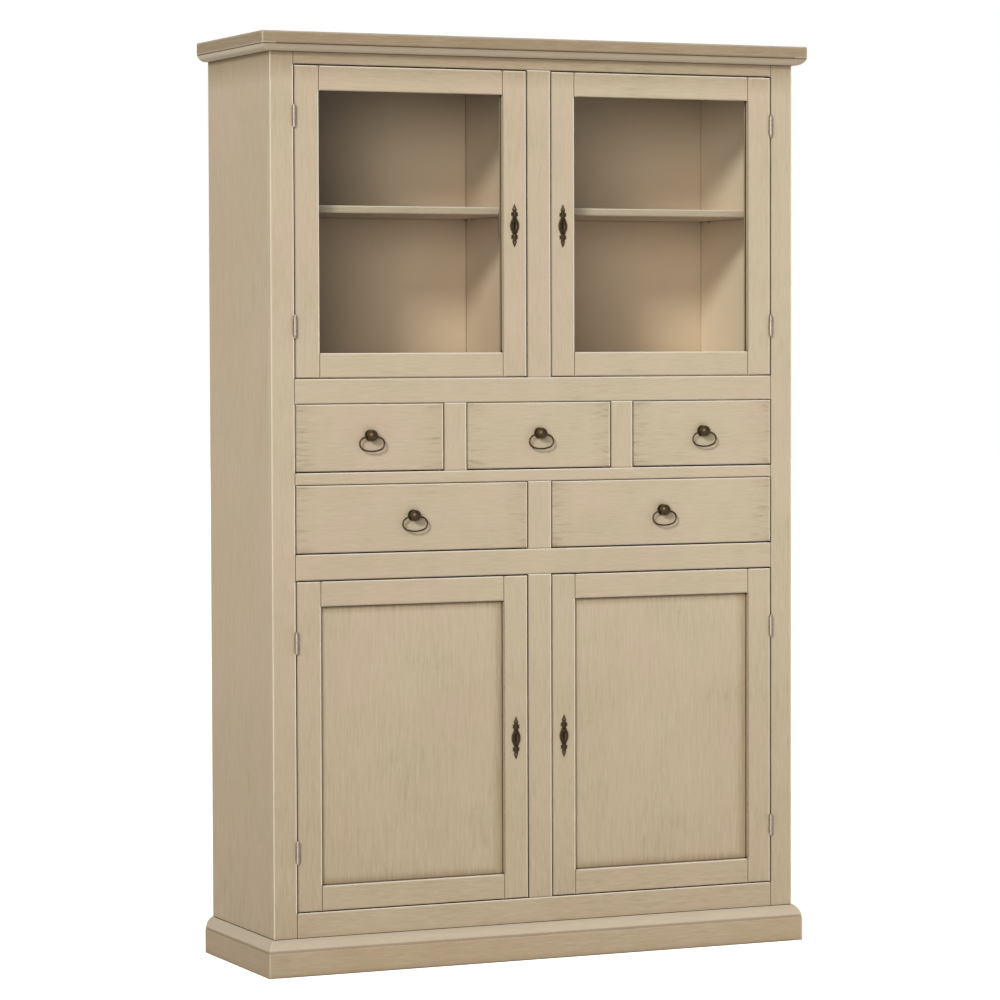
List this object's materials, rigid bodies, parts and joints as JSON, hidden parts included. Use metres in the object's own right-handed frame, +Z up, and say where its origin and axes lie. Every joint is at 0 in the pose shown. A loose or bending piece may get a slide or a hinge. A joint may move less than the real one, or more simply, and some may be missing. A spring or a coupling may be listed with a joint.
{
  "type": "pantry cabinet",
  "caption": "Free-standing country dresser cabinet with a glazed vitrine over drawers and a panelled cupboard, on a moulded plinth under a moulded cornice.",
  "frame": {"origin": "on the floor, under the middle of the cabinet's outer box", "axes": "+Z up, -Y towards the front with its doors and drawers, +X to the right as seen from the front"},
  "size_m": [1.282, 0.404, 1.98],
  "materials": {
    "cream_paint": "dry-brushed antiqued cream paint, satin, worn at the arrises",
    "bare_pine": "unpainted planed pine",
    "clear_glass": "clear float glass",
    "antique_bronze": "dark patinated bronze, brighter on the high spots",
    "nickel": "pale satin nickel",
    "lock_iron": "dull zinc-plated iron"
  },
  "bodies": {
    "carcass": {"side_panel_left": "cream_paint", "side_panel_right": "cream_paint", "front_posts": "cream_paint", "frame_rails": "cream_paint", "centre_stiles": "cream_paint", "drawer_dividers": "cream_paint", "back_panel": "cream_paint", "top_board": "cream_paint", "cornice_moulding": "cream_paint", "plinth": "cream_paint", "decks": "cream_paint", "partition": "cream_paint", "shelves": "cream_paint", "shelf_pins": "nickel", "drawer_runners": "bare_pine", "frame_hinge_leaves": "nickel"},
    "upper_left_door": {"upper_left_door_frame": "cream_paint", "upper_left_door_glass": "clear_glass", "upper_left_door_escutcheon": "antique_bronze", "upper_left_door_lock_case": "lock_iron", "upper_left_door_hinge_leaves": "nickel"},
    "upper_left_door_bolt": {"upper_left_door_lock_bolt": "lock_iron"},
    "upper_right_door": {"upper_right_door_frame": "cream_paint", "upper_right_door_glass": "clear_glass", "upper_right_door_escutcheon": "antique_bronze", "upper_right_door_lock_case": "lock_iron", "upper_right_door_hinge_leaves": "nickel"},
    "upper_right_door_bolt": {"upper_right_door_lock_bolt": "lock_iron"},
    "lower_left_door": {"lower_left_door_frame": "cream_paint", "lower_left_door_panel": "cream_paint", "lower_left_door_escutcheon": "antique_bronze", "lower_left_door_lock_case": "lock_iron", "lower_left_door_hinge_leaves": "nickel"},
    "lower_left_door_bolt": {"lower_left_door_lock_bolt": "lock_iron"},
    "lower_right_door": {"lower_right_door_frame": "cream_paint", "lower_right_door_panel": "cream_paint", "lower_right_door_escutcheon": "antique_bronze", "lower_right_door_lock_case": "lock_iron", "lower_right_door_hinge_leaves": "nickel"},
    "lower_right_door_bolt": {"lower_right_door_lock_bolt": "lock_iron"},
    "top_left_drawer": {"top_left_drawer_front": "cream_paint", "top_left_drawer_box": "bare_pine", "top_left_drawer_knob": "antique_bronze"},
    "top_left_drawer_ring_pull": {"top_left_drawer_ring": "antique_bronze"},
    "top_middle_drawer": {"top_middle_drawer_front": "cream_paint", "top_middle_drawer_box": "bare_pine", "top_middle_drawer_knob": "antique_bronze"},
    "top_middle_drawer_ring_pull": {"top_middle_drawer_ring": "antique_bronze"},
    "top_right_drawer": {"top_right_drawer_front": "cream_paint", "top_right_drawer_box": "bare_pine", "top_right_drawer_knob": "antique_bronze"},
    "top_right_drawer_ring_pull": {"top_right_drawer_ring": "antique_bronze"},
    "low_left_drawer": {"low_left_drawer_front": "cream_paint", "low_left_drawer_box": "bare_pine", "low_left_drawer_knob": "antique_bronze"},
    "low_left_drawer_ring_pull": {"low_left_drawer_ring": "antique_bronze"},
    "low_right_drawer": {"low_right_drawer_front": "cream_paint", "low_right_drawer_box": "bare_pine", "low_right_drawer_knob": "antique_bronze"},
    "low_right_drawer_ring_pull": {"low_right_drawer_ring": "antique_bronze"}
  },
  "joints": [
    {"name": "upper_left_door_hinge", "type": "hinge", "parent": "carcass", "child": "upper_left_door", "pos_m": [-0.562, -0.1796, 1.585], "axis": [0, 0, -1], "range_deg": [0, 165]},
    {"name": "upper_left_door_bolt_slide", "type": "slide", "parent": "upper_left_door", "child": "upper_left_door_bolt", "axis": [1, 0, 0], "range_m": [0, 0.008]},
    {"name": "upper_right_door_hinge", "type": "hinge", "parent": "carcass", "child": "upper_right_door", "pos_m": [0.562, -0.1796, 1.585], "axis": [0, 0, 1], "range_deg": [0, 165]},
    {"name": "upper_right_door_bolt_slide", "type": "slide", "parent": "upper_right_door", "child": "upper_right_door_bolt", "axis": [-1, 0, 0], "range_m": [0, 0.008]},
    {"name": "lower_left_door_hinge", "type": "hinge", "parent": "carcass", "child": "lower_left_door", "pos_m": [-0.562, -0.1796, 0.481], "axis": [0, 0, -1], "range_deg": [0, 165]},
    {"name": "lower_left_door_bolt_slide", "type": "slide", "parent": "lower_left_door", "child": "lower_left_door_bolt", "axis": [1, 0, 0], "range_m": [0, 0.008]},
    {"name": "lower_right_door_hinge", "type": "hinge", "parent": "carcass", "child": "lower_right_door", "pos_m": [0.562, -0.1796, 0.481], "axis": [0, 0, 1], "range_deg": [0, 165]},
    {"name": "lower_right_door_bolt_slide", "type": "slide", "parent": "lower_right_door", "child": "lower_right_door_bolt", "axis": [-1, 0, 0], "range_m": [0, 0.008]},
    {"name": "top_left_drawer_slide", "type": "slide", "parent": "carcass", "child": "top_left_drawer", "axis": [0, -1, 0], "range_m": [0, 0.24]},
    {"name": "top_left_drawer_ring_swing", "type": "hinge", "parent": "top_left_drawer", "child": "top_left_drawer_ring_pull", "pos_m": [-0.393, -0.1875, 1.13215], "axis": [-1, 0, 0], "range_deg": [-10, 95]},
    {"name": "top_middle_drawer_slide", "type": "slide", "parent": "carcass", "child": "top_middle_drawer", "axis": [0, -1, 0], "range_m": [0, 0.24]},
    {"name": "top_middle_drawer_ring_swing", "type": "hinge", "parent": "top_middle_drawer", "child": "top_middle_drawer_ring_pull", "pos_m": [0, -0.1875, 1.13215], "axis": [-1, 0, 0], "range_deg": [-10, 95]},
    {"name": "top_right_drawer_slide", "type": "slide", "parent": "carcass", "child": "top_right_drawer", "axis": [0, -1, 0], "range_m": [0, 0.24]},
    {"name": "top_right_drawer_ring_swing", "type": "hinge", "parent": "top_right_drawer", "child": "top_right_drawer_ring_pull", "pos_m": [0.393, -0.1875, 1.13215], "axis": [-1, 0, 0], "range_deg": [-10, 95]},
    {"name": "low_left_drawer_slide", "type": "slide", "parent": "carcass", "child": "low_left_drawer", "axis": [0, -1, 0], "range_m": [0, 0.24]},
    {"name": "low_left_drawer_ring_swing", "type": "hinge", "parent": "low_left_drawer", "child": "low_left_drawer_ring_pull", "pos_m": [-0.29525, -0.1875, 0.96115], "axis": [-1, 0, 0], "range_deg": [-10, 95]},
    {"name": "low_right_drawer_slide", "type": "slide", "parent": "carcass", "child": "low_right_drawer", "axis": [0, -1, 0], "range_m": [0, 0.24]},
    {"name": "low_right_drawer_ring_swing", "type": "hinge", "parent": "low_right_drawer", "child": "low_right_drawer_ring_pull", "pos_m": [0.29525, -0.1875, 0.96115], "axis": [-1, 0, 0], "range_deg": [-10, 95]}
  ]
}
